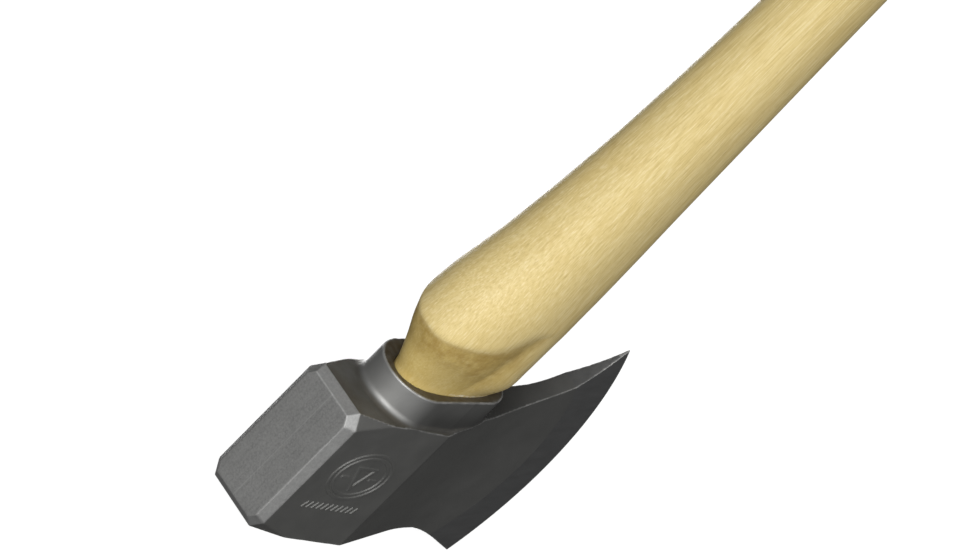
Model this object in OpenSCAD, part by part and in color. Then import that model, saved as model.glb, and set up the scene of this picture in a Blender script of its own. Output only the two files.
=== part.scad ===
// Splitting maul standing on its head, with the handle straight up. The blade points along +X, the poll
// along -X, and the two cheeks face +Y and -Y. The origin is the middle of the footprint of the whole
// maul, level with the lowest point of the toe. Inside the modules, x = 0 is the axis of the eye and
// z = 0 is the shoulder: the side of the poll block that the handle leaves from.

/* [Poll] */
// Distance from the eye's axis to the rim of the striking face's chamfer
poll_reach = 57.4; // [54:0.2:64]
// Width of the poll across the cheeks
poll_w = 38; // [36:0.5:42]
// Height of the poll block, from shoulder to crown
poll_h = 73.5; // [70:0.5:78]
// Depth of the chamfer round the striking face
face_depth = 4.2; // [2:0.2:6]
// How far that chamfer runs in from the sides
face_inset = 3.5; // [2:0.1:5]
// Corner cut of the poll, across the width
corner_y = 4.4; // [3:0.1:6]
// Corner cut of the poll, along the height
corner_z = 6.6; // [4:0.1:9]
// Length of the facets that run out along the poll's corners
facet_run = 23; // [12:0.5:30]

/* [Cheeks and blade] */
// Where the cheeks end and the blade's wedge begins, ahead of the eye's axis
taper_x = 7; // [4:0.5:12]
// Width of the head at that line, its widest place
cheek_w = 42.5; // [42:0.5:46]
// Thickness of the blade where the wedge has run out
blade_t = 9.4; // [8:0.2:12]
// Where the wedge has run out, ahead of the eye's axis
wedge_end_x = 75; // [70:1:80]
// Radius of the cutting edge
edge_r = 143.4; // [140:0.2:146]
// Width of the ground bevel behind the cutting edge
bevel_w = 31; // [26:1:36]
// Radius of the beard's hollow, on the handle's side
beard_r = 94; // [90:1:98]
// Radius of the hollow on the toe's side
toe_side_r = 110; // [100:2:130]
// Radius of the toe's rounded corner
toe_r = 3; // [2:0.5:4]

/* [Collar and eye] */
// Height of the collar's rim above the shoulder, on the eye's axis
rim_z = 18.6; // [16:0.2:22]
// Slope of the rim, rising towards the blade, in degrees
rim_slope = 6; // [0:0.5:8]
// Half of the collar's width
collar_r = 19; // [18.5:0.1:19.5]
// Distance from the eye's axis to the centres of the collar's round ends
end_offset = 18.2; // [17:0.2:20]
// Radius of the fillet round the collar's foot
foot_r = 6; // [4:0.5:8]
// Half of the eye's width inside the head
eye_r = 13.6; // [12.5:0.1:14]
// How much wider the eye is at the crown, each side, so that the wedges lock the tenon
crown_flare = 1; // [0.6:0.1:1.4]
// Half of the eye's width at the collar's mouth
mouth_r = 16.6; // [16.2:0.1:17]
// Depth of the flared mouth below the rim
mouth_depth = 16; // [12:0.5:18]

/* [Handle and wedges] */
// Length of the whole maul, from the toe to the end of the grip
overall_l = 850; // [800:10:900]
// How far the tenon stands proud of the crown
tenon_proud = 3; // [1:0.5:5]
// Gap between the tenon and the eye
fit_gap = 0.15; // [0.1:0.05:0.3]
// Depth of the wooden wedge in the tenon
wedge_depth = 46; // [35:1:55]
// Thickness of the wooden wedge at its head
wedge_t = 6; // [4:0.5:7]
// Outer radius of the steel ring wedge
ring_r = 8.5; // [7:0.5:9.5]
// Wall of the steel ring wedge
ring_wall = 1.6; // [1.2:0.1:2]
// Depth of the steel ring wedge in the tenon
ring_depth = 22; // [15:1:28]

/* [Hidden] */
steel = [0.33, 0.33, 0.32];
dark_steel = [0.42, 0.42, 0.43];
pale_wood = [0.88, 0.78, 0.56];
wedge_wood = [0.72, 0.55, 0.36];

eps = 0.02;                                // overlap that welds two solids
sink = 0.3;                                // how far the foot of the collar is let into the surfaces it joins
far_out = 200;                             // a length beyond every part of the head
crown_z = -poll_h;
edge_x0 = 3.6;                             // centre of the cutting edge's arc
edge_z0 = -35;
nose_x = edge_x0 + edge_r;                 // foremost point of the cutting edge
beard_x0 = 42;                             // centre of the beard's arc
beard_low_z = 5.7;                         // its lowest point above the shoulder
beard_z0 = beard_low_z + beard_r;
toe_start_x = 74;                          // where the crown's flat ends on the toe's side
blade_split_x = 58;                        // behind this the bevel's cone is not needed

// Where the toe side's arc meets the cutting edge's arc: a point on the edge at angle a from its centre.
function edge_point(a) = [edge_x0 + edge_r * cos(a), edge_z0 + edge_r * sin(a)];
function toe_side_z(x) = crown_z - toe_side_r + sqrt(toe_side_r ^ 2 - (x - toe_start_x) ^ 2);
function beard_z(x) = beard_z0 - sqrt(beard_r ^ 2 - (x - beard_x0) ^ 2);

// Angle at which the cutting edge crosses a curve, found by halving the interval.
function cross_low(a, b, n) = let (m = (a + b) / 2, p = edge_point(m))
    n == 0 ? m : (p[1] < toe_side_z(p[0]) ? cross_low(m, b, n - 1) : cross_low(a, m, n - 1));
toe_angle = cross_low(-40, 0, 30);
toe_tip = edge_point(toe_angle);

// The toe's rounding: a circle of toe_r that touches both arcs from inside.
function toe_centre(a, b, n) = let (m = (a + b) / 2, p = [edge_x0 + (edge_r - toe_r) * cos(m),
        edge_z0 + (edge_r - toe_r) * sin(m)],
        d = norm([p[0] - toe_start_x, p[1] - (crown_z - toe_side_r)]))
    n == 0 ? p : (d < toe_side_r + toe_r ? toe_centre(m, b, n - 1) : toe_centre(a, m, n - 1));
toe_c = toe_centre(-40, 0, 30);
toe_low_z = toe_c[1] - toe_r;

// Everything above is measured from the eye; this puts the maul's footprint round the origin.
face_x = -poll_reach - face_depth;
mid_x = (nose_x + face_x) / 2;
grip_end_z = overall_l + toe_low_z;

module placed() translate([-mid_x, 0, -toe_low_z]) children();

// ---------------------------------------------------------------- head

// Everything beyond the plane through a point, on the side its normal points to.
module beyond(point, normal) translate(point)
    rotate([0, acos(normal[2] / norm(normal)), atan2(normal[1], normal[0])])
        translate([-far_out / 2, -far_out / 2, 0]) cube(far_out);

// Mirrors its children into all four corners of the poll block.
module four_corners() for (m = [0, 1], c = [0, 1])
    translate([0, 0, crown_z / 2]) mirror([0, m, 0]) mirror([0, 0, c]) translate([0, 0, -crown_z / 2]) children();

// The facets that run out to a point along the poll's long corners.
module corner_cuts() {
    y = poll_w / 2;
    grow = (cheek_w - poll_w) / 2 / (poll_reach + taper_x);
    a = [-poll_reach, y - corner_y, 0];
    b = [-poll_reach, y, -corner_z];
    tip = [facet_run - poll_reach, y + grow * facet_run, 0];
    four_corners() beyond(a, cross(tip - a, b - a));
}

// The chamfer round the striking face: one cut for each side and one for each corner.
module face_cuts() {
    y = poll_w / 2;
    corner_inset = (corner_z * face_inset + corner_y * face_inset) / norm([corner_y, corner_z]) - 0.6;
    four_corners() {
        beyond([-poll_reach, y, 0], [-face_inset, face_depth, 0]);
        beyond([-poll_reach, 0, 0], [-face_inset, 0, face_depth]);
        beyond([-poll_reach, y - corner_y, 0],
            [-corner_inset, face_depth * corner_z / norm([corner_y, corner_z]),
             face_depth * corner_y / norm([corner_y, corner_z])]);
    }
}

// Seen from the handle: the cheeks widen to the taper line, then the wedge runs down to the blade.
module plan() {
    b = blade_t / 2;
    polygon([[face_x, -poll_w / 2], [-poll_reach, -poll_w / 2], [taper_x, -cheek_w / 2], [wedge_end_x, -b],
             [far_out, -b], [far_out, b], [wedge_end_x, b], [taper_x, cheek_w / 2], [-poll_reach, poll_w / 2],
             [face_x, poll_w / 2]]);
}

// Seen from the cheek, in x and z: poll block, shoulder, beard, cutting edge and toe.
module side() {
    rise_x = beard_x0 - 8;
    difference() {
        union() {
            polygon([[face_x, crown_z], [blade_split_x, crown_z], [blade_split_x, beard_z(blade_split_x)],
                     [beard_x0, beard_low_z], [rise_x, beard_low_z], [taper_x, 0], [face_x, 0]]);
            intersection() {
                translate([edge_x0, edge_z0]) circle(r = edge_r, $fn = 200);
                translate([blade_split_x - eps, crown_z - edge_r]) square([far_out, 2 * edge_r]);
            }
        }
        translate([beard_x0, beard_z0]) circle(r = beard_r, $fn = 200);
        translate([beard_x0 - far_out, beard_z0]) square([2 * far_out, far_out]);
        translate([toe_start_x, crown_z - toe_side_r]) circle(r = toe_side_r, $fn = 200);
        translate([0, crown_z - toe_side_r]) square([toe_start_x, toe_side_r]);
        translate([0, crown_z - 2 * toe_side_r]) square([far_out, toe_side_r]);
        toe_corner();
    }
}

// The sharp corner that the toe's rounding takes away.
module toe_corner() {
    to_edge = (toe_c - [edge_x0, edge_z0]) / norm(toe_c - [edge_x0, edge_z0]);
    to_side = ([toe_start_x, crown_z - toe_side_r] - toe_c) / (toe_side_r + toe_r);
    difference() {
        polygon([toe_c, toe_c + toe_r * to_edge, toe_tip + [2, -2], toe_c + toe_r * to_side]);
        translate(toe_c) circle(r = toe_r, $fn = 48);
    }
}

// Turns a drawing in x and z into a solid of the given thickness about the middle plane.
module slab(t) rotate([90, 0, 0]) linear_extrude(t, center = true) children();

// A disc whose rim is the cutting edge, thinning over the bevel from both sides.
module bevel_disc() {
    reach = edge_r * (blade_t / 2) / bevel_w;
    translate([edge_x0, 0, edge_z0]) rotate([90, 0, 0])
        rotate_extrude($fn = 200) polygon([[0, -reach], [edge_r, 0], [0, reach]]);
}

// A bar with round ends about the eye's axis, its half-width r1 at z1 and r2 at z2.
module round_bar(r1, r2, z1, z2, offset_x) {
    for (s = [-1, 1]) translate([s * offset_x, 0, z1]) cylinder(h = z2 - z1, r1 = r1, r2 = r2, $fn = 96);
    rotate([90, 0, 90]) linear_extrude(2 * offset_x, center = true)
        polygon([[-r1, z1], [r1, z1], [r2, z2], [-r2, z2]]);
}

// The section across the collar's foot, with a hollow curve on both sides. It sinks a little into both
// surfaces that it joins.
module foot_section() {
    reach = collar_r + foot_r - sink;
    difference() {
        translate([-reach, -foot_r]) square([2 * reach, 2 * foot_r - sink]);
        for (s = [-1, 1]) translate([s * reach, foot_r - sink]) circle(r = foot_r, $fn = 96);
    }
}

module collar_foot() {
    for (s = [-1, 1]) translate([s * end_offset, 0, 0]) rotate_extrude($fn = 96) intersection() {
        foot_section();
        translate([0, -far_out / 2]) square(far_out);
    }
    rotate([90, 0, 90]) linear_extrude(2 * end_offset, center = true) foot_section();
}

// Poll, cheeks and the root of the blade.
module block() difference() {
    intersection() {
        slab(2 * cheek_w) difference() {
            side();
            translate([blade_split_x, -far_out]) square([far_out, 2 * far_out]);
        }
        translate([0, 0, -far_out]) linear_extrude(2 * far_out) plan();
    }
    corner_cuts();
    face_cuts();
}

// The thin part of the blade, with its ground bevel.
module blade() intersection() {
    slab(2 * cheek_w) difference() {
        side();
        translate([-far_out, -far_out]) square([far_out + blade_split_x - eps, 2 * far_out]);
    }
    translate([0, 0, -far_out]) linear_extrude(2 * far_out) plan();
    bevel_disc();
}

// The raised oval collar round the eye, with a rim that rises towards the blade.
module collar() {
    intersection() {
        collar_foot();
        translate([0, 0, -foot_r]) linear_extrude(3 * foot_r) plan();
    }
    intersection() {
        round_bar(collar_r, collar_r, -foot_r, rim_z + foot_r, end_offset);
        translate([0, 0, rim_z]) rotate([0, -rim_slope, 0])
            translate([-far_out / 2, -far_out / 2, -far_out]) cube(far_out);
    }
}

// The eye: a flared mouth, a straight length, and a flare at the crown.
module eye() {
    waist_z = rim_z - mouth_depth;
    below = crown_z - 1;
    above = rim_z + 6;
    mouth_slope = (mouth_r - eye_r) / mouth_depth;
    round_bar(eye_r + crown_flare, eye_r, below, crown_z / 2, end_offset - 1);
    round_bar(eye_r, eye_r, crown_z / 2 - eps, waist_z + eps, end_offset - 1);
    round_bar(eye_r, mouth_r + mouth_slope * (above - rim_z), waist_z, above, end_offset - 1);
}

module maul_head() color(steel) placed() difference() {
    union() {
        block();
        blade();
        collar();
    }
    eye();
}

// ---------------------------------------------------------------- handle

// Stations up the handle: height above the shoulder, the poll-side and blade-side profiles, and half of
// the thickness. The neck sits in the collar, the bulge overhangs it, and the end swells into a knob.
top_z = grip_end_z;
stations = [
    [8, -31, 29.2, 14.3],
    [14, -32.6, 30.2, 15.5],
    [20, -34.6, 30.8, 16.6],
    [30, -38, 31, 18.8],
    [38, -41.8, 31, 20.9],
    [46, -45.2, 30.8, 23],
    [54, -43.9, 30.6, 24.2],
    [64, -41, 30.6, 24.3],
    [76, -36.5, 31, 23.7],
    [90, -32, 31.4, 22.9],
    [110, -27.9, 31.4, 21.8],
    [140, -23.1, 30.4, 20.4],
    [180, -18.9, 29, 19.1],
    [225, -16, 27.4, 18],
    [290, -14.8, 25.2, 17],
    [400, -14.5, 22.6, 15.8],
    [540, -15, 19.8, 15],
    [650, -15.8, 18.4, 14.8],
    [top_z - 52, -17.5, 18.5, 15],
    [top_z - 26, -21, 20.5, 16.4],
    [top_z - 12, -21.5, 21, 16.6],
    [top_z - 3, -18, 17.5, 13],
    [top_z, -12.5, 12, 8.5]];

// A smooth curve through the stations (Catmull-Rom, with unequal steps): value c at the place t in span i.
function slope_at(i, c) = let (n = len(stations) - 1, a = max(i - 1, 0), b = min(i + 1, n))
    (stations[b][c] - stations[a][c]) / (stations[b][0] - stations[a][0]);
function between(i, t, c) = let (h = stations[i + 1][0] - stations[i][0], p = stations[i][c],
        q = stations[i + 1][c], t2 = t * t, t3 = t2 * t)
    p * (2 * t3 - 3 * t2 + 1) + q * (3 * t2 - 2 * t3)
        + h * (slope_at(i, c) * (t3 - 2 * t2 + t) + slope_at(i + 1, c) * (t3 - t2));

handle_sides = 48;
rings_per_span = 3;
squareness = 2.3;                          // 2 is an ellipse, more is squarer

function power(v, n) = sign(v) * pow(abs(v), 2 / n);
function section(z, back, front, half) = [for (k = [0:handle_sides - 1]) let (a = 360 * k / handle_sides)
    [(front + back) / 2 + (front - back) / 2 * power(cos(a), squareness), half * power(sin(a), squareness), z]];

module shaft() {
    last = len(stations) - 1;
    rings = [for (i = [0:last - 1]) for (s = [0:rings_per_span - 1]) let (t = s / rings_per_span)
                 section(stations[i][0] + t * (stations[i + 1][0] - stations[i][0]),
                         between(i, t, 1), between(i, t, 2), between(i, t, 3)),
             section(stations[last][0], stations[last][1], stations[last][2], stations[last][3])];
    n = handle_sides;
    points = [for (r = rings) for (p = r) p];
    walls = [for (r = [0:len(rings) - 2]) for (k = [0:n - 1]) let (a = r * n + k, b = r * n + (k + 1) % n)
                 [a, a + n, b + n, b]];
    polyhedron(points, concat(walls, [[for (k = [0:n - 1]) k]],
        [[for (k = [n - 1:-1:0]) (len(rings) - 1) * n + k]]), convexity = 4);
}

// The tenon fills the eye, a little clear of it all round.
module tenon() {
    end_z = crown_z - tenon_proud;
    g = fit_gap;
    grow = crown_flare * (1 + 2 * tenon_proud / poll_h);
    round_bar(eye_r + grow - g, eye_r - g, end_z, crown_z / 2, end_offset - 1);
    round_bar(eye_r - g, eye_r - g, crown_z / 2 - eps, rim_z - mouth_depth, end_offset - 1);
    round_bar(eye_r - g, eye_r - g + 1.2, rim_z - mouth_depth - eps, 9, end_offset - 1);
}

module wedge_body(slack) {
    end_z = crown_z - tenon_proud;
    tip_t = 1.2;
    length = 2 * (end_offset + eye_r) - 6;
    rotate([90, 0, 90]) linear_extrude(length + 2 * slack, center = true)
        polygon([[-wedge_t / 2 - slack, end_z - slack], [wedge_t / 2 + slack, end_z - slack],
                 [tip_t / 2 + slack, end_z + wedge_depth + slack], [-tip_t / 2 - slack, end_z + wedge_depth + slack]]);
}

module ring_body(slack) {
    end_z = crown_z - tenon_proud;
    translate([0, 0, end_z - slack]) difference() {
        cylinder(h = ring_depth + 2 * slack, r = ring_r + slack, $fn = 96);
        translate([0, 0, -1]) cylinder(h = ring_depth + 2 * slack + 2, r = ring_r - ring_wall - slack, $fn = 96);
    }
}

module handle() color(pale_wood) placed() difference() {
    union() {
        shaft();
        tenon();
    }
    wedge_body(0.05);
    ring_body(0.05);
}

module eye_wedge() color(wedge_wood) placed() difference() {
    wedge_body(0);
    ring_body(0.05);
}

module ring_wedge() color(dark_steel) placed() ring_body(0);

maul_head();
handle();
eye_wedge();
ring_wedge();
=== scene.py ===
"""Looks for the splitting maul. Shapes are worked out in millimetres from the eye: x = 0 is the eye's axis,
z = 0 the shoulder that the handle leaves from, +x the blade, -y the near cheek."""

import math

import bpy
import numpy as np
from mathutils import Matrix, Vector


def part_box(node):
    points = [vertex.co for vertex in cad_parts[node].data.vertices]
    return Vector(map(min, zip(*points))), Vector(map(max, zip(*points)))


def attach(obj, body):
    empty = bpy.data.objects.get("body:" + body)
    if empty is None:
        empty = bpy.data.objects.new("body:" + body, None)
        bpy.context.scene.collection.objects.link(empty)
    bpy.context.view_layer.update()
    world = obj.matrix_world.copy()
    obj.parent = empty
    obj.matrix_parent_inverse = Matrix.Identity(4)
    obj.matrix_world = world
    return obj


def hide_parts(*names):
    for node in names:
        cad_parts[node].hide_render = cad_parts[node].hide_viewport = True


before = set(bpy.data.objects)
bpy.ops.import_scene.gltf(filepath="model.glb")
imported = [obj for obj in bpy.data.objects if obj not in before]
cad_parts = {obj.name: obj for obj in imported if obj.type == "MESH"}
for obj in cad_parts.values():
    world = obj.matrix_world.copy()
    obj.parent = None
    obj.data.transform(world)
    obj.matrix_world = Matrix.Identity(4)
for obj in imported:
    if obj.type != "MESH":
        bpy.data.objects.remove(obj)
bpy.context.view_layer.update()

# The striking face, where its chamfer ends, the head's side away from the handle, the foremost point of the
# cutting edge, and how far the shoulder is above the maul's lowest point.
FACE_X, POLL_X = -61.6, -57.4
CROWN_Z = -73.5
NOSE_X = 147.0
SHOULDER_ABOVE_TOE = 90.603
head_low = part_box("maul_head")[0]
SHIFT = np.array([head_low.x * 1000 - FACE_X, 0.0, head_low.z * 1000 + SHOULDER_ABOVE_TOE])
GRIP_END_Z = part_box("handle")[1].z * 1000 - SHIFT[2]


def to_part(points):
    """From millimetres from the eye to the part's own metres."""
    return (np.asarray(points, float) + SHIFT) / 1000.0


def smoothstep(start, end, v):
    t = np.clip((v - start) / (end - start), 0, 1)
    return t * t * (3 - 2 * t)


def soft_min(a, b, width):
    """The smaller of a and b, blended where they differ by less than the width."""
    near = np.maximum(width - np.abs(a - b), 0) / width
    return np.minimum(a, b) - near * near * width / 4


def soft_max(a, b, width):
    return -soft_min(-a, -b, width)


def fillet_union(a, b, radius):
    """Two distances joined, with a fillet where they meet."""
    inner = np.hypot(np.maximum(radius - a, 0), np.maximum(radius - b, 0))
    return np.maximum(radius, np.minimum(a, b)) - inner


def unit_rows(rows):
    return rows / np.maximum(np.linalg.norm(rows, axis=1), 1e-9)[:, None]


def mesh_object(name, verts, faces, material):
    mesh = bpy.data.meshes.new(name)
    mesh.from_pydata([tuple(v) for v in verts], [], [tuple(int(i) for i in f) for f in faces])
    mesh.validate()
    mesh.update()
    mesh.materials.append(material)
    mesh.polygons.foreach_set("use_smooth", np.ones(len(mesh.polygons), bool))
    ob = bpy.data.objects.new(name, mesh)
    bpy.context.scene.collection.objects.link(ob)
    return ob


def add_values(mesh, looks):
    """Named values for each vertex, for its material. Vertices past the end of a list get 0."""
    for name, values in looks.items():
        padded = np.append(values, np.zeros(len(mesh.vertices) - len(values)))
        attribute = mesh.attributes.new(name, "FLOAT", "POINT")
        attribute.data.foreach_set("value", padded.astype(np.float32))


# ------------------------------------------------------------------ head

# An oval is a stadium: half of its straight part, then its radius. An arc is a centre (x, z) and a radius.
COLLAR_HALF, COLLAR_R = 18.4, 18.8
EYE_HALF, EYE_R = 16.6, 13.6
EYE_SLACK = 0.4
EYE_WAIST, EYE_TAPER = 36.7, 36.8
EYE_BREAK_R = 15.5
MOUTH_LONG, MOUTH_SHORT = 31.6, 14.5
MOUTH_FROM, MOUTH_TO = 3, 10
RIM_Z, RIM_SLOPE, LAND_SLOPE, RIM_WIDTH = 18.6, 0.105, 0.18, 0.7
COLLAR_ROOT = -6
EDGE_C, EDGE_R = (3.6, -35.0), 143.4
BEVEL_C, BEVEL_R = (30.6, -27.3), 86.1
BEARD_C, BEARD_R = (42.1, 99.6), 93.9
TOE_C, TOE_R = (68.0, CROWN_Z - 113.0), 113.0
TOE_ARC, TOE_SLOPE, TOE_LIFT = 38.9, 0.367, 0.9
# The shoulder is level up to RISE_FROM and rises by RISE up to the beard's arc.
RISE_FROM, RISE_TO, RISE = 6.9, 34.0, 6.05
# Half thicknesses: at the poll, at the cheeks' thickest line, on the flat of the blade and at its edge.
POLL_HALF, CHEEK_HALF, BLADE_HALF, EDGE_HALF = 19.0, 21.25, 4.7, 0.28
CHEEK_X, BLADE_X, BEVEL_FROM_X = 7.0, 74, 60
TAPER = 0.2465
# The poll's chamfers: half of the thickness between the corner facets, and widths on the cheeks and ends.
FACET_HALF = 14.6
CHAMFER_SIDE, CHAMFER_END = 3.5, 3.9
POLL_END_X = -40
SOFT = 0.35


def stadium(x, y, half):
    return np.hypot(np.maximum(np.abs(x) - half, 0), y)


def shoulder(x):
    """Height of the handle's side of the head, from the poll to the heel."""
    ramp = RISE * (x - RISE_FROM) / (RISE_TO - RISE_FROM)
    level = soft_max(np.zeros_like(x), np.minimum(ramp, RISE), 0.4)
    arc = BEARD_C[1] - np.sqrt(np.maximum(BEARD_R ** 2 - np.clip(x - BEARD_C[0], -90, 90) ** 2, 0))
    return np.where(x < RISE_TO, level, arc)


def crown(x):
    """Height of the opposite side, from the poll to the toe: level, an arc, then a straight tail."""
    past = x - TOE_C[0]
    arc = TOE_C[1] + np.sqrt(TOE_R ** 2 - np.clip(past, 0, TOE_ARC) ** 2)
    tail = TOE_SLOPE * np.maximum(past - TOE_ARC, 0)
    return np.where(past < 0, CROWN_Z, np.minimum(arc - tail + TOE_LIFT, CROWN_Z))


def past_bevel(x, z):
    """How far a point is past the line where the ground bevel starts."""
    return np.hypot(x - BEVEL_C[0], z - BEVEL_C[1]) - BEVEL_R


def past_edge(x, z):
    return np.hypot(x - EDGE_C[0], z - EDGE_C[1]) - EDGE_R


def half_thickness(x, z):
    """Half of the head's thickness: cheeks, wedge, flat blade and ground bevel."""
    cheek = POLL_HALF + (x - POLL_X) * ((CHEEK_HALF - POLL_HALF) / (CHEEK_X - POLL_X))
    wedge = soft_max(CHEEK_HALF - TAPER * (x - CHEEK_X), np.full_like(x, BLADE_HALF), 4.5)
    whole = soft_min(cheek, wedge, 0.25)
    to_edge = np.clip(-past_edge(x, z), 0, None)
    beyond = past_bevel(x, z)
    share = to_edge / np.maximum(to_edge + np.maximum(beyond, 0), 1e-6)
    ground = EDGE_HALF + (BLADE_HALF - EDGE_HALF) * share
    return np.where((x > BEVEL_FROM_X) & (beyond > 0), np.minimum(whole, whole * ground / BLADE_HALF), whole)


def eye_flare(z):
    """How much the eye's radius has grown from its waist towards the crown."""
    return np.clip((-z - EYE_WAIST) / EYE_TAPER, 0, 1.2)


def plane(normal, *offsets):
    """Distance from a plane, given its normal and the offsets from a point on it."""
    return sum(n * offset for n, offset in zip(np.array(normal) / np.linalg.norm(normal), offsets))


def head_field(x, y, z):
    """Signed distance to the forged head, negative inside."""
    off_middle = np.abs(y)
    # about the cosines of the cheeks', the wedge's and the blade's slopes, to turn steps in y into distances
    lean = np.where(x < CHEEK_X, 0.9994, np.where(x < BLADE_X, 0.971, 0.99))
    cheeks = (off_middle - half_thickness(x, z)) * lean
    above = z - shoulder(x)
    steep = np.clip((x - BEARD_C[0]) / BEARD_R, 0, 0.85)
    top = above * np.where(x > BEARD_C[0], np.sqrt(1 - steep ** 2), 1.0)

    out = stadium(x, y, COLLAR_HALF)
    land = LAND_SLOPE * np.maximum(COLLAR_R - RIM_WIDTH - out, 0)
    rim = (z - RIM_Z - RIM_SLOPE * x + land) * 0.93
    collar = np.maximum(soft_max(out - COLLAR_R, rim, 0.8), COLLAR_ROOT - z)
    # the fillet at the collar's foot is wider at its two ends
    foot = 2.4 + 1.8 * smoothstep(-12, -30, x) + 3.0 * smoothstep(20, 34, x)
    upper = fillet_union(top, collar, foot)
    # over the shoulder the cheeks' planes open out at 45 degrees, which lets the collar through
    distance = soft_max(upper, (cheeks - np.clip(above - 0.1, 0, 40)) * 0.72, SOFT)
    distance = soft_max(distance, crown(x) - z, SOFT)

    # the poll: corner facets that run out to a point, then the chamfer round the striking face
    from_poll = x - POLL_X
    from_end = np.abs(z - CROWN_Z / 2) + CROWN_Z / 2
    depth = POLL_X - FACE_X
    facet = plane((-34.98, 151.8, 101.2), from_poll, off_middle - FACET_HALF, from_end)
    side = plane((-CHAMFER_SIDE, depth), from_poll, off_middle - POLL_HALF)
    end = plane((-CHAMFER_END, depth), from_poll, from_end)
    corner = plane((-0.655, 0.629, 0.419), from_poll, off_middle - FACET_HALF, from_end)
    distance = np.where(z < 2.5, soft_max(distance, facet, SOFT), distance)
    distance = soft_max(distance, side, SOFT)
    for cut in (end, corner):
        distance = np.where(x < POLL_END_X, soft_max(distance, cut, SOFT), distance)
    distance = soft_max(distance, FACE_X - x, SOFT)
    distance = soft_max(distance, past_edge(x, z), 0.15)

    # the eye, with an oval mouth in the collar and a broken edge at the crown
    eye = stadium(x, y, EYE_HALF + EYE_SLACK) - (EYE_R + 0.04 * np.clip(z - 2.6, 0, None) + eye_flare(z))
    mouth = (np.hypot(x / MOUTH_LONG, y / MOUTH_SHORT) - 1) * MOUTH_SHORT
    eye = eye + (mouth - eye) * smoothstep(MOUTH_FROM, MOUTH_TO, z)
    broken = (stadium(x, y, EYE_HALF) - (EYE_BREAK_R - (z - CROWN_Z))) * 0.7
    eye = np.minimum(eye, np.where(z < CROWN_Z + 1.5, broken, 50))
    return soft_max(distance, -eye, 0.7)


def field_gradient(points, reach):
    """The slope of head_field at each point, from samples that far to either side."""
    slope = np.empty_like(points)
    for axis, offset in enumerate(reach * np.eye(3)):
        slope[:, axis] = (head_field(*(points + offset).T) - head_field(*(points - offset).T)) / (2 * reach)
    return slope


def crossing_points(start, edge, start_in):
    """Where head_field changes sign along each grid edge, found by halving."""
    near, far = np.zeros(len(start)), np.ones(len(start))
    for _ in range(12):
        middle = (near + far) / 2
        same = (head_field(*(start + middle[:, None] * edge).T) < 0) == start_in
        near, far = np.where(same, middle, near), np.where(same, far, middle)
    return start + ((near + far) / 2)[:, None] * edge


def cell_vertices(owner, point, normal, cells, low, step):
    """One vertex for each cell, where the planes at its crossed edges meet best: (cells used, vertices)."""
    used, own = np.unique(owner, return_inverse=True)
    count = np.bincount(own, minlength=len(used))

    def cell_sum(values):
        return np.bincount(own, values, len(used))

    mean = np.stack([cell_sum(point[:, i]) for i in range(3)], 1) / count[:, None]
    height = (normal * (point - mean[own])).sum(1)
    pull = np.stack([cell_sum(normal[:, i] * height) for i in range(3)], 1)
    stiffness = np.empty((len(used), 3, 3))
    for i in range(3):
        for j in range(3):
            stiffness[:, i, j] = cell_sum(normal[:, i] * normal[:, j])
    stiffness += np.eye(3) * (0.02 * count)[:, None, None]
    shift = np.linalg.solve(stiffness, pull[:, :, None])[:, :, 0]
    corner = np.stack(np.unravel_index(used, cells), 1) * step + low
    return used, np.clip(mean + shift, corner - 0.05 * step, corner + 1.05 * step)


def contour(low, high, step):
    """Dual contouring of head_field, which keeps its creases sharp: (vertices, quads)."""
    axes = [low[i] + step * np.arange(int(round((high[i] - low[i]) / step)) + 1) for i in range(3)]
    yy, zz = np.meshgrid(axes[1], axes[2], indexing="ij")
    inside = np.stack([head_field(np.full_like(yy, x), yy, zz) < 0 for x in axes[0]])
    cells = [len(v) - 1 for v in axes]
    owner, point, normal, loops = [], [], [], []
    for axis in range(3):
        before, after = [slice(None)] * 3, [slice(None)] * 3
        before[axis], after[axis] = slice(0, -1), slice(1, None)
        crossed = inside[tuple(before)] != inside[tuple(after)]
        others = [i for i in range(3) if i != axis]
        for other in others:
            border = [slice(None)] * 3
            for rim in (0, -1):
                border[other] = rim
                crossed[tuple(border)] = False
        index = np.argwhere(crossed)
        start_in = inside[tuple(before)][tuple(index.T)]
        points = crossing_points(low + step * index, step * np.eye(3)[axis], start_in)
        # the four cells round each crossed edge are the corners of one quad
        first, second = others if axis != 1 else others[::-1]
        quad = []
        for back_first, back_second in ((0, 0), (1, 0), (1, 1), (0, 1)):
            cell = index.copy()
            cell[:, first] -= back_first
            cell[:, second] -= back_second
            quad.append(np.ravel_multi_index(cell.T, cells))
        owner += quad
        point += [points] * 4
        normal += [unit_rows(field_gradient(points, 0.02))] * 4
        quad = np.stack(quad, 1)
        quad[~start_in] = quad[~start_in][:, ::-1]
        loops.append(quad)
    owner, point, normal = np.concatenate(owner), np.concatenate(point), np.concatenate(normal)
    used, verts = cell_vertices(owner, point, normal, cells, low, step)
    return verts, np.searchsorted(used, np.concatenate(loops))


# The emblem: its middle, half of its lines' width and their height over the cheek. The rest is measured from
# its middle: the oval band's radii, the wedge's corners, the bars beside it and the row of leaning dashes.
EMBLEM_X, EMBLEM_Z = -25.5, -31.5
LINE_HALF, LINE_HIGH = 0.95, 0.6
BAND_RADII, BAND_STRETCH = (14.0, 11.6), 1.4
WEDGE_CORNERS = [(-6.2, 5.2), (6.2, 5.2), (0, -7.2)]
BAR_START, BAR_END, BAR_Z = 7.6, 12.4, -1
DASHES, DASH_PITCH, DASH_LEAN = 11, 3.7, 0.9
DASH_LOW, DASH_HIGH = -22.0, -18.6


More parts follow.
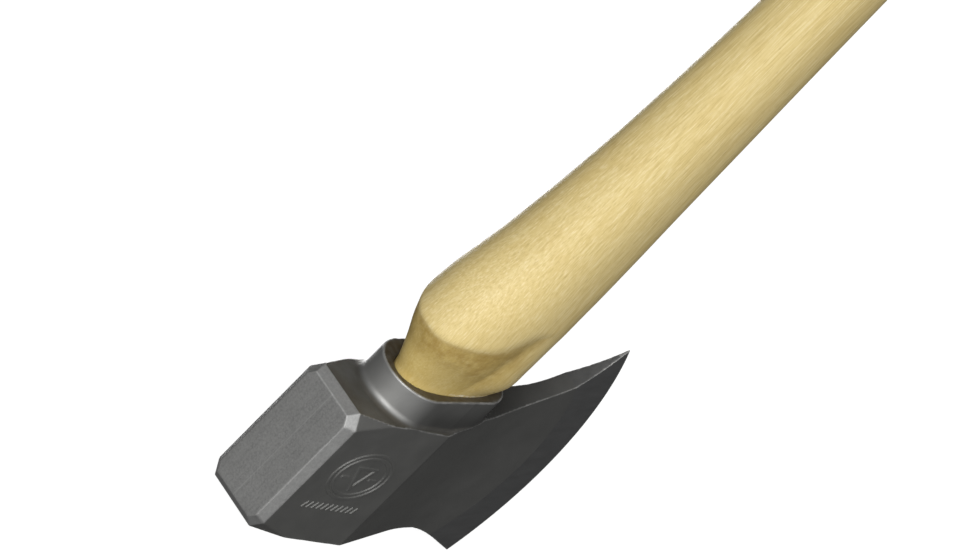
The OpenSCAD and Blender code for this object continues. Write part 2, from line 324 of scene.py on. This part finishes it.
def raised_line(points, closed, half_width, height):
    """A raised line with sloping sides, along points (x, z) from the emblem's middle: (vertices, faces)."""
    path = np.array(points, float) + (EMBLEM_X, EMBLEM_Z)
    count = len(path)
    ahead = np.roll(path, -1, 0) - path
    behind = path - np.roll(path, 1, 0)
    if not closed:
        ahead[-1], behind[0] = behind[-1], ahead[0]
    ahead = unit_rows(ahead)
    middle = unit_rows(ahead + unit_rows(behind))
    reach = 1 / np.clip((middle * ahead).sum(1), 0.45, 1)
    sideways = np.stack([-middle[:, 1], middle[:, 0]], 1) * reach[:, None]
    verts, faces = [], []
    for across, rise in ((-1.0, -0.3), (-0.55, height), (0.55, height), (1.0, -0.3)):
        row = path + sideways * across * half_width
        if not closed:
            overhang = half_width * (abs(across) - 0.4) * 0.8
            row[0] -= middle[0] * overhang
            row[-1] += middle[-1] * overhang
        y = -(half_thickness(row[:, 0], row[:, 1]) + rise)
        verts.append(np.stack([row[:, 0], y, row[:, 1]], 1))
    for low in (0, count, 2 * count):
        high = low + count
        for i in range(count if closed else count - 1):
            j = (i + 1) % count
            faces.append((low + i, low + j, high + j, high + i))
    if not closed:
        faces += [(0, count, 2 * count, 3 * count), (4 * count - 1, 3 * count - 1, 2 * count - 1, count - 1)]
    return np.concatenate(verts), faces


def emblem():
    """A plain raised device: an oval band, a wedge in it, and a row of dashes below."""
    turns = np.linspace(0, 2 * math.pi, 72, endpoint=False)
    lines = []
    for radius in BAND_RADII:
        oval = [(BAND_STRETCH * radius * math.cos(t), radius * math.sin(t)) for t in turns]
        lines.append(raised_line(oval, True, LINE_HALF, LINE_HIGH))
    lines.append(raised_line(WEDGE_CORNERS, True, 1.05, 0.65))
    for left, right in ((-BAR_END, -BAR_START), (BAR_START, BAR_END)):
        lines.append(raised_line([(left, BAR_Z), (right, BAR_Z)], False, LINE_HALF, LINE_HIGH))
    for i in range(DASHES):
        x = DASH_PITCH * (i - (DASHES - 1) / 2)
        lines.append(raised_line([(x - DASH_LEAN, DASH_LOW), (x + DASH_LEAN, DASH_HIGH)], False, 0.75, 0.5))
    return lines


def add_emblem(verts, faces, normals):
    """The head's mesh with the emblem added. Its normals lean out of the cheek, which softens its sides."""
    for line_verts, line_faces in emblem():
        flat = []
        for face in line_faces:
            first, second, third = line_verts[list(face[:3])]
            normal = np.cross(second - first, third - first)
            if normal[1] > 0:
                face, normal = face[::-1], -normal
            normal = normal / max(np.linalg.norm(normal), 1e-9) + np.array([0, -0.7, 0])
            faces.append(tuple(len(verts) + i for i in face))
            flat += [normal] * len(face)
        verts = np.vstack([verts, line_verts])
        normals = np.vstack([normals, flat])
    return verts, faces, normals


def head_looks(verts):
    """Where the steel looks different, as one value for each vertex."""
    x, y, z = verts.T
    above = z - shoulder(x)
    land = smoothstep(COLLAR_R - 0.55, COLLAR_R - 1.1, stadium(x, y, COLLAR_HALF)) * smoothstep(9, 11, z)
    # how sharply each point bends outwards or inwards, for wear with a painted highlight on the edges and
    # painted shade in the hollows
    reach = 0.5
    bend = -6 * head_field(x, y, z)
    for offset in reach * np.eye(3):
        bend += head_field(*(verts + offset).T) + head_field(*(verts - offset).T)
    bend /= reach * reach
    # the parts that face the handle, and painted shade at the collar's foot and along the beard
    upward = smoothstep(0.6, 0.9, field_gradient(verts, 0.4)[:, 2])
    near_foot = smoothstep(18, 3, above) * smoothstep(-22, -6, x) * (above > 0.3) * (x < 48)
    beard = upward * smoothstep(95, 50, x) * (x > 24) * (z < 20)
    return {
        # edges brightened by wear and a painted highlight
        "edge": smoothstep(0.35, 1.1, bend),
        # painted shade in the hollows
        "hollow": smoothstep(0.1, 0.6, -bend),
        "land": land,
        "bevel": smoothstep(-0.2, 0.5, past_bevel(x, z)) * (x > BEVEL_FROM_X),
        "top": upward * (x < 30) * (z > -2) * (z < 10),
        # a painted highlight on the collar's poll end
        "collar": smoothstep(0.5, 3, above) * smoothstep(-17, -30, x),
        "painted_shade": np.maximum(near_foot, beard),
    }


def build_head(material):
    step = 0.72
    wide = step * math.ceil(25 / step)
    verts, quads = contour(np.array([FACE_X - 1.5, -wide, -92.0]), np.array([NOSE_X + 2, wide, 50.5]), step)
    # normals are taken a little way into each face, so that creases stay crisp
    corners = verts[quads] * 0.68 + verts[quads].mean(1)[:, None] * 0.32
    normals = field_gradient(corners.reshape(-1, 3), 0.03).reshape(-1, 4, 3)
    across = np.cross(verts[quads[:, 2]] - verts[quads[:, 0]], verts[quads[:, 3]] - verts[quads[:, 1]])
    if (across * normals.mean(1)).sum(1).mean() < 0:
        quads, normals = quads[:, ::-1], normals[:, ::-1]
    looks = head_looks(verts)
    verts, faces, normals = add_emblem(verts, quads.tolist(), unit_rows(normals.reshape(-1, 3)))
    ob = mesh_object("maul_head_forging", to_part(verts), faces, material)
    if len(ob.data.loops) == len(normals):
        ob.data.normals_split_custom_set([tuple(v) for v in normals.tolist()])
    add_values(ob.data, looks)
    return ob


# ------------------------------------------------------------------ handle

# Each row: height, poll side, blade side and half of the thickness. The oval body, then the neck under it.
BODY = np.array([
    [2, -46.8, 36, 23.4], [20, -46.5, 35.2, 23.8], [30, -46.2, 33.8, 24], [38, -45.8, 32.6, 24.0],
    [46, -44.8, 31.9, 24.2], [54, -43.2, 31.5, 24.3], [64, -40.4, 31.2, 24.3], [76, -35.9, 31.2, 23.7],
    [90, -31.6, 31.5, 22.9], [110, -27.6, 31.6, 21.8], [140, -22.9, 30.8, 20.4], [180, -18.8, 29.7, 19.1],
    [225, -16, 28, 18], [290, -14.8, 25.8, 17], [400, -14.5, 22.6, 15.8], [540, -15, 19.8, 15],
    [650, -15.8, 18.4, 14.8], [GRIP_END_Z - 52, -17.5, 18.5, 15], [GRIP_END_Z - 26, -21, 20.5, 16.4],
    [GRIP_END_Z - 12, -21.4, 20.9, 16.5], [GRIP_END_Z - 4, -18.8, 18.3, 13.8],
    [GRIP_END_Z - 1, -16, 15.5, 11.2], [GRIP_END_Z, -12.5, 12, 8.5]], float)
NECK = np.array([
    [2, -29.8, 33, 13.4], [10, -30, 34.5, 13.7], [16, -31.5, 36, 14.2], [22, -34.3, 38, 15.4],
    [30, -37.8, 41, 17.8], [38, -41.9, 43, 20.4], [46, -45.8, 45, 22.3], [56, -51, 44, 24.4],
    [66, -57, 47, 27]], float)
NECK_TOP, BULGE_TOP = 66, 120
BODY_SQUARENESS = 2.3
TENON_LEVELS = (-76.4, -76.0, -70, -55, -36.75, -20, -5, 0, 2.6)
TENON_HALF, TENON_R = 17.0, 13.45


def along(table, z):
    """Smooth values of a profile table at the heights z."""
    heights = table[:, 0]
    level = np.clip(z, heights[0], heights[-1])
    i = np.clip(np.searchsorted(heights, level, side="right") - 1, 0, len(heights) - 2)
    gap = heights[i + 1] - heights[i]
    s = (level - heights[i]) / gap
    values = []
    for v in table[:, 1:].T:
        slope = np.gradient(v, heights)
        rise = np.diff(v) / np.diff(heights)
        slope[1:-1] = np.where(rise[:-1] * rise[1:] <= 0, 0, slope[1:-1])
        values.append(v[i] * (2 * s ** 3 - 3 * s ** 2 + 1) + v[i + 1] * (3 * s ** 2 - 2 * s ** 3)
                      + gap * (slope[i] * (s ** 3 - 2 * s ** 2 + s) + slope[i + 1] * (s ** 3 - s ** 2)))
    return values


def polar_radius(angle, cx, left, right, half, squareness):
    """Radius, seen from (cx, 0), of a rounded oval from left to right with that half thickness."""
    middle, reach = (left + right) / 2, (right - left) / 2
    c, s = np.cos(angle), np.sin(angle)
    r = reach * 0.9
    for _ in range(18):
        u, v = (cx - middle + r * c) / reach, r * s / half
        size = (np.abs(u) ** squareness + np.abs(v) ** squareness) ** (1 / squareness)
        r = r / np.maximum(size, 1e-6) ** 0.9
    return r


def body_radius(angle, z):
    """(centre, radius) of the oval body at an angle and height."""
    left, right, half = along(BODY, z)
    cx = (left + right) / 2
    return cx, polar_radius(angle, cx, left, right, half, BODY_SQUARENESS)


def handle_radius(angle, z):
    """(centre, radius) of the handle's surface, where the neck is cut into the body."""
    cx, body = body_radius(angle, z)
    left, right, half = along(NECK, np.minimum(z, NECK_TOP))
    neck = polar_radius(angle, cx, left, right, half, 2.1 + 0.3 * smoothstep(16, 40, z))
    # on the blade's side the neck runs out into the body, and the ridge between them grows soft
    from_poll = np.abs(np.arctan2(np.sin(angle - math.pi), np.cos(angle - math.pi)))
    neck = neck + 8 * smoothstep(1.6, 2.5, from_poll) * smoothstep(16, 36, z)
    neck = np.where(z > NECK_TOP, body + 10, neck)
    return cx, soft_min(body, neck, 0.7 + 9 * smoothstep(0.75, 1.9, from_poll))


def tenon_ring(angles, z):
    """The tenon's outline at a height: the eye's oval less its slack, smaller again at the very end."""
    radius = TENON_R + eye_flare(z) - (0.4 if z < -76.2 else 0)
    r = polar_radius(angles, 0, -TENON_HALF - 0.2 - radius, TENON_HALF + 0.2 + radius, radius, 3.4)
    x, y = r * np.cos(angles), r * np.sin(angles)
    over = np.maximum(stadium(x, y, TENON_HALF) / radius, 1)
    return np.stack([x / over, y / over, np.full(len(angles), z)], 1)


def handle_ring(angles, z):
    level = np.full(len(angles), z)
    cx, r = handle_radius(angles, level)
    return np.stack([cx + r * np.cos(angles), r * np.sin(angles), level], 1)


def handle_looks(verts):
    """Where the neck's cut shows, the band under its ridge, and the fibres at the mouth."""
    x, y, z = verts.T
    cx, _ = body_radius(np.zeros(len(z)), z)
    _, body = body_radius(np.arctan2(y, x - cx), z)
    under = body - np.hypot(x - cx, y)
    poll_side = smoothstep(14, -12, x)
    over_rim = z - RIM_Z - RIM_SLOPE * x
    band = smoothstep(0.3, 1.2, under) * smoothstep(11, 4, under)
    return {
        "neck": smoothstep(0.5, 1.8, under) * (z > 2) * (z < NECK_TOP) * (0.25 + 0.75 * poll_side),
        "under_ridge": band * (z > 16) * (z < NECK_TOP) * poll_side,
        "mouth": smoothstep(-1.0, -0.2, over_rim) * smoothstep(1.0, 0.3, over_rim) * smoothstep(-16, 0, x),
    }


def build_handle(material, end_material):
    sides = 176
    fine = 1.0
    # outlines lie close together where the shape changes: at the neck, the bulge and the swell of the grip
    swell = GRIP_END_Z - 60
    levels = []
    for start, end, gap in ((6.0, NECK_TOP, fine), (NECK_TOP, BULGE_TOP, 2.5), (BULGE_TOP, swell, 7.0),
                            (swell, GRIP_END_Z - 6, 2.5)):
        levels += list(np.arange(start, end, gap))
    levels += [GRIP_END_Z - below for below in (5, 3.5, 2.2, 1.2, 0.5, 0.1)]
    angles = np.linspace(0, 2 * math.pi, sides, endpoint=False)
    rings = [tenon_ring(angles, z) for z in TENON_LEVELS] + [handle_ring(angles, z) for z in levels]
    faces = []
    for i in range(len(rings) - 1):
        low, high = i * sides, (i + 1) * sides
        for k in range(sides):
            j = (k + 1) % sides
            faces.append((low + k, low + j, high + j, high + k))
    # a fan closes each end, the grip's first and then the tenon's
    grip_end, tenon_end = len(rings) * sides, len(rings) * sides + 1
    last = grip_end - sides
    faces += [(last + k, last + (k + 1) % sides, grip_end) for k in range(sides)]
    faces += [((k + 1) % sides, k, tenon_end) for k in range(sides)]
    ends = [[np.mean(rings[-1][:, 0]), 0, GRIP_END_Z], [0, 0, TENON_LEVELS[0]]]
    verts = np.vstack([*rings, ends])
    ob = mesh_object("handle_wood", to_part(verts), faces, material)
    ob.data.materials.append(end_material)
    for polygon in ob.data.polygons[-sides:]:
        polygon.material_index = 1
    add_values(ob.data, handle_looks(verts))
    return ob


# ------------------------------------------------------------------ materials

class Nodes:
    """Short calls for building a node tree."""

    def __init__(self, tree):
        self.tree = tree

    def add(self, kind, **values):
        node = self.tree.nodes.new(kind)
        for name, value in values.items():
            setattr(node, name, value)
        return node

    def link(self, output, socket):
        self.tree.links.new(output, socket)

    def put(self, socket, value):
        if hasattr(value, "is_output"):
            self.link(value, socket)
        else:
            socket.default_value = value

    def math(self, op, a, b=0.0, clamp=False):
        node = self.add("ShaderNodeMath", operation=op, use_clamp=clamp)
        self.put(node.inputs[0], a)
        self.put(node.inputs[1], b)
        return node.outputs[0]

    def times(self, a, b, clamp=False):
        return self.math("MULTIPLY", a, b, clamp)

    def coords(self):
        return self.add("ShaderNodeTexCoord").outputs["Object"]

    def xyz(self):
        node = self.add("ShaderNodeSeparateXYZ")
        self.link(self.coords(), node.inputs[0])
        return node.outputs

    def mapped(self, scale=(1, 1, 1), location=(0, 0, 0)):
        node = self.add("ShaderNodeMapping")
        self.link(self.coords(), node.inputs["Vector"])
        node.inputs["Scale"].default_value = scale
        node.inputs["Location"].default_value = location
        return node.outputs[0]

    def noise(self, scale, detail=3.0, rough=0.5, vector=None, distortion=0.0):
        node = self.add("ShaderNodeTexNoise")
        self.link(vector if vector is not None else self.coords(), node.inputs["Vector"])
        node.inputs["Scale"].default_value = scale
        node.inputs["Detail"].default_value = detail
        node.inputs["Roughness"].default_value = rough
        node.inputs["Distortion"].default_value = distortion
        return node.outputs["Fac"]

    def span(self, value, start, end, low=0.0, high=1.0):
        """The value's range from start to end, spread over low to high and held there beyond it."""
        node = self.add("ShaderNodeMapRange")
        self.put(node.inputs["Value"], value)
        node.inputs["From Min"].default_value = start
        node.inputs["From Max"].default_value = end
        node.inputs["To Min"].default_value = low
        node.inputs["To Max"].default_value = high
        return node.outputs[0]

    def ramp(self, factor, stops):
        node = self.add("ShaderNodeValToRGB")
        self.put(node.inputs[0], factor)
        elements = node.color_ramp.elements
        while len(elements) < len(stops):
            elements.new(0.5)
        for element, (position, color) in zip(elements, stops):
            element.position = position
            element.color = (*color, 1)
        return node.outputs[0]

    def mix(self, factor, *colors):
        node = self.add("ShaderNodeMix", data_type="RGBA")
        self.put(node.inputs[0], factor)
        for socket, color in zip(node.inputs[6:8], colors):
            self.put(socket, (*color, 1) if isinstance(color, tuple) else color)
        return node.outputs[2]

    def attribute(self, name):
        return self.add("ShaderNodeAttribute", attribute_name=name).outputs["Fac"]

    def bump(self, height, strength, distance, normal=None):
        node = self.add("ShaderNodeBump")
        self.put(node.inputs["Height"], height)
        node.inputs["Strength"].default_value = strength
        node.inputs["Distance"].default_value = distance
        if normal is not None:
            self.link(normal, node.inputs["Normal"])
        return node.outputs[0]


def new_material(name, metallic=0.0, roughness=0.5, color=(0.5, 0.5, 0.5)):
    """A new material: (material, its shader, a builder for its nodes)."""
    material = bpy.data.materials.new(name)
    material.use_nodes = True
    shader = material.node_tree.nodes["Principled BSDF"]
    shader.inputs["Base Color"].default_value = (*color, 1)
    shader.inputs["Metallic"].default_value = metallic
    shader.inputs["Roughness"].default_value = roughness
    return material, shader, Nodes(material.node_tree)


def at_x(x):
    """The part's own x, in metres, of a place given in millimetres from the eye."""
    return (SHIFT[0] + x) / 1000


def dark_steel(n, x):
    """The dark forged steel of everything but the striking face and its chamfer."""
    mottle = n.noise(55, 5, 0.6)
    color = n.mix(n.span(mottle, 0.3, 0.7), (0.165, 0.165, 0.159), (0.195, 0.195, 0.187))
    # painted shade makes the wedge darker than the poll's cheeks, and a painted highlight makes the collar's
    # poll end lighter
    color = n.mix(n.span(x, at_x(CHEEK_X - 0.2), at_x(CHEEK_X + 0.2), 0.0, 0.26), color, (0.05, 0.05, 0.05))
    # painted highlight: the collar's poll end is made lighter
    color = n.mix(n.attribute("collar"), color, (0.30, 0.30, 0.292))
    # the ground bevel is darker again, with marks from the wheel
    wheel = n.noise(260, 3, 0.55, n.mapped(scale=(0.12, 1, 1)))
    bevel = n.mix(n.span(wheel, 0.3, 0.7), (0.125, 0.126, 0.126), (0.15, 0.151, 0.151))
    color = n.mix(n.attribute("bevel"), color, bevel)
    # the shoulder keeps a brown tint from the quench, and painted shade darkens the collar's foot and the
    # beard
    tint = n.times(n.attribute("top"), n.span(n.noise(70, 3, 0.6), 0.3, 0.6, 0.4, 1.0), clamp=True)
    color = n.mix(n.times(tint, 0.8), color, (0.125, 0.114, 0.088))
    return n.mix(n.times(n.attribute("painted_shade"), 0.75), color, (0.07, 0.07, 0.067))


def bare_steel(n, x, y):
    """The ground striking face, and the slightly brighter chamfer round it."""
    face = n.span(x, at_x(FACE_X + 0.25), at_x(FACE_X + 0.1))
    grind = n.noise(60, 2, 0.5, n.mapped(scale=(1, 12, 1)))
    glint = n.span(n.noise(900, 2, 0.6), 0.35, 0.75)
    color = n.mix(n.span(grind, 0.35, 0.65), (0.315, 0.315, 0.309), (0.365, 0.365, 0.357))
    color = n.mix(glint, color, (0.425, 0.425, 0.416))
    # one faint upright line left by the grinder, just off the middle of the face
    off_line = n.math("ABSOLUTE", n.math("SUBTRACT", y, -0.0006))
    color = n.mix(n.span(off_line, 0.0004, 0.0001, 0.0, 0.45), color, (0.50, 0.50, 0.49))
    chamfer = n.mix(glint, (0.36, 0.36, 0.355), (0.425, 0.425, 0.418))
    return n.mix(face, chamfer, color)


def steel_material():
    material, shader, n = new_material("forged_steel", metallic=1.0, roughness=0.66)
    x, y, _ = n.xyz()
    ground = n.span(x, at_x(POLL_X + 0.15), at_x(POLL_X - 0.15))
    color = n.mix(ground, dark_steel(n, x), bare_steel(n, x, y))
    # bright edges, partly wear and partly a painted highlight, broken up, and painted shade darkening the
    # hollows
    broken = n.span(n.noise(90, 4, 0.7), 0.38, 0.62, 0.25, 1.0)
    wear_and_highlight = n.times(n.math("POWER", n.attribute("edge"), 3.0), broken, clamp=True)
    color = n.mix(n.times(wear_and_highlight, 0.75), color, (0.52, 0.52, 0.51))
    color = n.mix(n.times(n.attribute("hollow"), 0.5), color, (0.16, 0.15, 0.13))
    # oil and wood juice have stained the rim's land
    land = n.times(n.attribute("land"), n.span(n.noise(260, 4, 0.6), 0.3, 0.6, 0.75, 1.0), clamp=True)
    color = n.mix(land, color, (0.052, 0.039, 0.02))
    n.link(color, shader.inputs["Base Color"])
    rough = n.span(n.noise(120, 4, 0.6), 0.3, 0.7, 0.53, 0.60)
    n.link(n.math("ADD", rough, n.times(ground, 0.10)), shader.inputs["Roughness"])
    metal = n.math("ADD", 0.74, n.times(ground, 0.22))
    n.link(n.times(metal, n.math("SUBTRACT", 1.0, n.times(land, 0.9))), shader.inputs["Metallic"])
    grain = n.bump(n.noise(1500, 3, 0.6), 0.14, 0.0004)
    n.link(n.bump(n.noise(120, 4, 0.55), 0.10, 0.0012, grain), shader.inputs["Normal"])
    return material


def wood_material():
    material, shader, n = new_material("hardwood", roughness=0.55)
    # fine streaks along the shaft, broader bands of growth and a soft unevenness
    hair = n.noise(1700, 3, 0.6, n.mapped(scale=(1, 1, 0.03)))
    streak = n.noise(420, 4, 0.62, n.mapped(scale=(1, 1, 0.028)), distortion=0.25)
    broad = n.noise(60, 3, 0.55, n.mapped(scale=(1, 1, 0.05)))
    patch = n.noise(26, 3, 0.55, n.mapped(scale=(1, 1, 0.5)))
    woolly = n.noise(330, 3, 0.7)
    flecks = n.noise(1500, 2, 0.5, n.mapped(scale=(1, 1, 0.12)))
    color = n.ramp(n.span(streak, 0.32, 0.68), [
        (0.0, (0.605, 0.455, 0.18)),
        (0.5, (0.67, 0.53, 0.235)),
        (1.0, (0.72, 0.59, 0.29))])
    color = n.mix(n.span(broad, 0.36, 0.68, 0.0, 0.5), color, (0.625, 0.48, 0.20))
    color = n.mix(n.span(patch, 0.42, 0.66, 0.0, 0.45), color, (0.68, 0.545, 0.245))
    color = n.mix(n.span(hair, 0.52, 0.68, 0.0, 0.7), color, (0.78, 0.665, 0.385))
    color = n.mix(n.span(hair, 0.47, 0.34, 0.0, 0.55), color, (0.50, 0.365, 0.13))
    color = n.mix(n.span(woolly, 0.50, 0.72, 0.0, 0.28), color, (0.56, 0.42, 0.165))
    color = n.mix(n.span(flecks, 0.68, 0.77, 0.0, 0.5), color, (0.40, 0.26, 0.10))
    # the neck is cut across the grain: yellower, and brown under the ridge
    neck = n.times(n.attribute("neck"), n.span(n.noise(45, 3, 0.6), 0.25, 0.6, 0.55, 0.95))
    color = n.mix(n.times(neck, 0.55), color, (0.50, 0.345, 0.065))
    brown = n.times(n.attribute("under_ridge"), n.span(n.noise(160, 4, 0.7), 0.36, 0.62, 0.1, 1.0))
    color = n.mix(n.times(brown, 0.6), color, (0.33, 0.20, 0.045))
    # torn pale fibres where it enters the collar
    fibre = n.times(n.attribute("mouth"), n.span(n.noise(700, 3, 0.7), 0.42, 0.60))
    color = n.mix(fibre, color, (0.86, 0.80, 0.62))
    n.link(color, shader.inputs["Base Color"])
    shader.inputs["Specular IOR Level"].default_value = 0.3
    shader.inputs["Coat Weight"].default_value = 0.04
    shader.inputs["Coat Roughness"].default_value = 0.4
    n.link(n.span(streak, 0.3, 0.7, 0.62, 0.52), shader.inputs["Roughness"])
    ribs = n.bump(streak, 0.14, 0.0005)
    n.link(n.bump(hair, 0.12, 0.0003, ribs), shader.inputs["Normal"])
    return material


def end_grain_material():
    material, shader, n = new_material("end_grain", roughness=0.7)
    rings = n.add("ShaderNodeTexWave", wave_type="RINGS", rings_direction="Z")
    n.link(n.mapped(location=(0.06, 0.02, 0)), rings.inputs["Vector"])
    rings.inputs["Scale"].default_value = 90
    rings.inputs["Distortion"].default_value = 1.5
    rings.inputs["Detail"].default_value = 3
    color = n.ramp(rings.outputs["Fac"], [
        (0.0, (0.46, 0.33, 0.16)),
        (0.6, (0.62, 0.47, 0.25)),
        (1.0, (0.36, 0.24, 0.1))])
    pores = n.noise(1800, 2, 0.5)
    color = n.mix(n.span(pores, 0.62, 0.7, 0, 0.7), color, (0.15, 0.09, 0.04))
    n.link(color, shader.inputs["Base Color"])
    n.link(n.bump(pores, 0.3, 0.0004), shader.inputs["Normal"])
    return material


def wedge_wood_material():
    material, shader, n = new_material("wedge_wood", roughness=0.65)
    streak = n.noise(500, 4, 0.6, n.mapped(scale=(0.08, 1, 1)))
    color = n.ramp(n.span(streak, 0.3, 0.7), [(0.0, (0.23, 0.125, 0.05)), (1.0, (0.42, 0.26, 0.12))])
    n.link(color, shader.inputs["Base Color"])
    n.link(n.bump(streak, 0.3, 0.0005), shader.inputs["Normal"])
    return material


def wedge_steel_material():
    material, shader, n = new_material("wedge_steel", metallic=1.0, roughness=0.38, color=(0.42, 0.42, 0.43))
    mottle = n.noise(300, 4, 0.6)
    color = n.ramp(mottle, [(0.3, (0.24, 0.24, 0.245)), (0.7, (0.42, 0.42, 0.43))])
    n.link(color, shader.inputs["Base Color"])
    n.link(n.bump(mottle, 0.2, 0.0005), shader.inputs["Normal"])
    return material


head = build_head(steel_material())
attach(head, "root")
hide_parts("maul_head")

handle = build_handle(wood_material(), end_grain_material())
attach(handle, "root")
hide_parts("handle")

for name, material in (("eye_wedge", wedge_wood_material()), ("ring_wedge", wedge_steel_material())):
    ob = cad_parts[name]
    ob.data.materials.clear()
    ob.data.materials.append(material)

# ------------------------------------------------------------------ stage, light and camera

FLOOR_HALF = 40
WALL_R, WALL_LOW, WALL_HIGH, WALL_SIDES = 39, -0.5, 60, 48


def glowing_material(name, color, strength):
    """A matt surface that glows white, so that the stage is as plain and pale as the photo's."""
    material, shader, _ = new_material(name, roughness=1.0, color=color)
    shader.inputs["Specular IOR Level"].default_value = 0
    shader.inputs["Emission Color"].default_value = (1, 1, 1, 1)
    shader.inputs["Emission Strength"].default_value = strength
    return material


def build_floor():
    corners = [(x * FLOOR_HALF, y * FLOOR_HALF, 0) for x, y in ((-1, -1), (1, -1), (1, 1), (-1, 1))]
    return mesh_object("floor", corners, [(0, 1, 2, 3)], glowing_material("floor", (0.3, 0.3, 0.3), 0.92))


def build_backdrop():
    turns = [2 * math.pi * i / WALL_SIDES for i in range(WALL_SIDES)]
    verts = [(WALL_R * math.cos(t), WALL_R * math.sin(t), z) for z in (WALL_LOW, WALL_HIGH) for t in turns]
    after = [(i + 1) % WALL_SIDES for i in range(WALL_SIDES)]
    faces = [(i, j, WALL_SIDES + j, WALL_SIDES + i) for i, j in enumerate(after)]
    return mesh_object("backdrop", verts, faces, glowing_material("backdrop", (0, 0, 0), 1.0))


# the stage is seen by the camera only: it lights nothing, isn't mirrored in the steel and throws no shadow
for ob in (build_floor(), build_backdrop()):
    ob.visible_diffuse = ob.visible_glossy = ob.visible_shadow = False

world = bpy.data.worlds.new("studio")
bpy.context.scene.world = world
world.use_nodes = True
sky = world.node_tree.nodes["Background"]
sky.inputs["Color"].default_value = (1, 1, 1, 1)
sky.inputs["Strength"].default_value = 0.07

# the camera looks at the head from the poll's side, rolled so that the handle leaves by the upper right
right = Vector((0.5304, -0.5262, 0.6646)).normalized()
back = Vector((-0.8419, -0.4185, 0.3406)).normalized()
up = back.cross(right).normalized()
right = up.cross(back).normalized()
centre = Vector((SHIFT + np.array([-1884.7, -919.4, 824.4])) / 1000)
camera = bpy.data.objects.new("camera", bpy.data.cameras.new("camera"))
bpy.context.scene.collection.objects.link(camera)
camera.matrix_world = Matrix((
    (right.x, up.x, back.x, centre.x),
    (right.y, up.y, back.y, centre.y),
    (right.z, up.z, back.z, centre.z),
    (0, 0, 0, 1)))
camera.data.lens = 189.8
camera.data.sensor_width = 36
camera.data.clip_end = 200
bpy.context.scene.camera = camera


def soft_sun(name, direction, strength, angle):
    """A sun that shines from that direction, angle degrees across."""
    data = bpy.data.lights.new(name, "SUN")
    data.energy = strength
    data.angle = math.radians(angle)
    ob = bpy.data.objects.new(name, data)
    bpy.context.scene.collection.objects.link(ob)
    ob.rotation_euler = Vector(direction).normalized().to_track_quat("Z", "Y").to_euler()


soft_sun("key", (-0.857, -0.351, 0.379), 3.15, 24)
soft_sun("fill_right", (-0.2, -0.85, 0.45), 0.95, 40)
soft_sun("fill_back", (0.72, 0.64, -0.10), 1.8, 30)

bpy.context.scene.view_settings.view_transform = "Standard"
